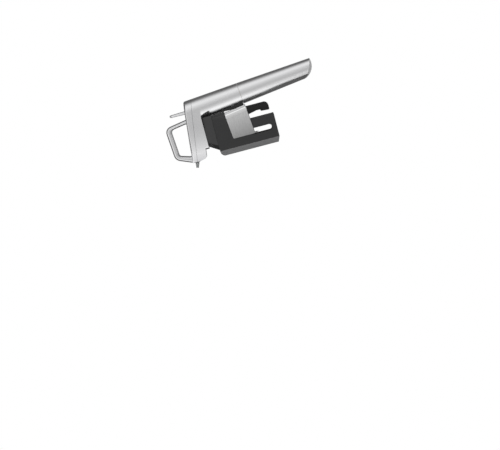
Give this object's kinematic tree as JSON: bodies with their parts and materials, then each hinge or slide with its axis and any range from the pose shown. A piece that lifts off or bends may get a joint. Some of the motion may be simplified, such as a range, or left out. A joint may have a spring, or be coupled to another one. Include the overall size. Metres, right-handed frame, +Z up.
{
  "type": "wine dispenser",
  "caption": "Needle wine preservation dispenser: slim metal handle, finger loop, trigger and spout on a sliding clamp whose two sprung jaws grip a bottle neck",
  "frame": {"origin": "on the needle axis, in the plane of the bottle's lip, where the clamp's rubber seat rests on the neck", "axes": "+Z up along the needle and the bottle's axis, -X towards the spout, +X towards the handle, +Y to the right of someone who faces the spout's way"},
  "size_m": [0.1083, 0.0442, 0.2198],
  "materials": {
    "satin_aluminium": "satin cast aluminium, fine blasted and anodised",
    "brushed_plate": "brushed along its length, rolled rear edge",
    "black_plastic": "moulded, satin black, glass filled",
    "track_plastic": "moulded, smooth black",
    "rubber_black": "moulded soft rubber, matte",
    "brass_parts": "turned brass, bare",
    "steel_parts": "turned and drawn steel, bare",
    "clear_plastic": "moulded, translucent pale grey",
    "pale_plastic": "moulded natural acetal"
  },
  "bodies": {
    "clamp": {"clamp_frame": "black_plastic", "clamp_cap": "black_plastic", "needle_guide": "pale_plastic", "lip_seat": "rubber_black", "slide_carriage": "steel_parts", "carriage_screw_left": "steel_parts", "carriage_screw_right": "steel_parts", "jaw_pin_left": "steel_parts", "jaw_pin_right": "steel_parts", "jaw_spring": "steel_parts"},
    "jaw_left": {"jaw_left_shell": "black_plastic", "jaw_left_pad": "rubber_black", "jaw_left_plate": "brushed_plate"},
    "jaw_right": {"jaw_right_shell": "black_plastic", "jaw_right_pad": "rubber_black", "jaw_right_plate": "brushed_plate"},
    "head": {"handle_casting": "satin_aluminium", "head_cover": "satin_aluminium", "track_insert": "track_plastic", "flow_manifold": "pale_plastic", "needle": "steel_parts", "needle_hub": "brass_parts", "needle_o_ring": "rubber_black", "spout": "clear_plastic", "spout_seal": "rubber_black", "cover_screw_front_left": "steel_parts", "cover_screw_front_right": "steel_parts", "cover_screw_rear": "steel_parts", "trigger_pin": "steel_parts", "gas_tube": "pale_plastic", "regulator_body": "brass_parts", "regulator_bonnet": "brass_parts", "regulator_piston": "brass_parts", "piston_o_ring": "rubber_black", "regulator_spring": "steel_parts", "piercing_pin": "steel_parts", "capsule_gasket": "rubber_black", "valve_spring": "steel_parts"},
    "trigger": {"trigger_lever": "satin_aluminium"},
    "valve": {"valve_stem": "steel_parts"},
    "capsule": {"gas_capsule": "steel_parts"},
    "cup": {"capsule_cup": "satin_aluminium"}
  },
  "joints": [
    {"name": "needle_slide", "type": "slide", "parent": "clamp", "child": "head", "axis": [0, 0, 1], "range_m": [0, 0.05]},
    {"name": "trigger_tilt", "type": "hinge", "parent": "head", "child": "trigger", "pos_m": [0.0575, 0, 0.0295], "axis": [0, -1, 0], "range_deg": [0, 8], "stiffness_Nm_per_rad": 0.6, "springref_deg": -8.59},
    {"name": "valve_slide", "type": "slide", "parent": "head", "child": "valve", "axis": [0.1011, 0, -0.9949], "range_m": [0, 0.0009], "deforming": ["valve_spring"]},
    {"name": "jaw_left_swing", "type": "hinge", "parent": "clamp", "child": "jaw_left", "pos_m": [0.023, -0.0145, 0], "axis": [0, 0, 1], "range_deg": [0, 12], "stiffness_Nm_per_rad": 0.4, "springref_deg": -17.19, "deforming": ["jaw_spring"]},
    {"name": "jaw_right_swing", "type": "hinge", "parent": "clamp", "child": "jaw_right", "pos_m": [0.023, 0.0145, 0], "axis": [0, 0, -1], "range_deg": [0, 12], "stiffness_Nm_per_rad": 0.4, "springref_deg": -17.19},
    {"name": "capsule_slide", "type": "slide", "parent": "head", "child": "capsule", "axis": [0.1011, 0, -0.9949], "range_m": [0, 0.008]},
    {"name": "cup_screw", "type": "hinge", "parent": "capsule", "child": "cup", "pos_m": [0.0533, 0, 0], "axis": [0.1011, 0, -0.9949], "range_deg": [0, 1440]}
  ],
  "couplings": [
    {"joint": "trigger_tilt", "follows": "valve_slide", "rad_per_m": 155.14},
    {"joint": "jaw_right_swing", "follows": "jaw_left_swing", "ratio": 1},
    {"joint": "cup_screw", "follows": "capsule_slide", "rad_per_m": 3141.6}
  ]
}
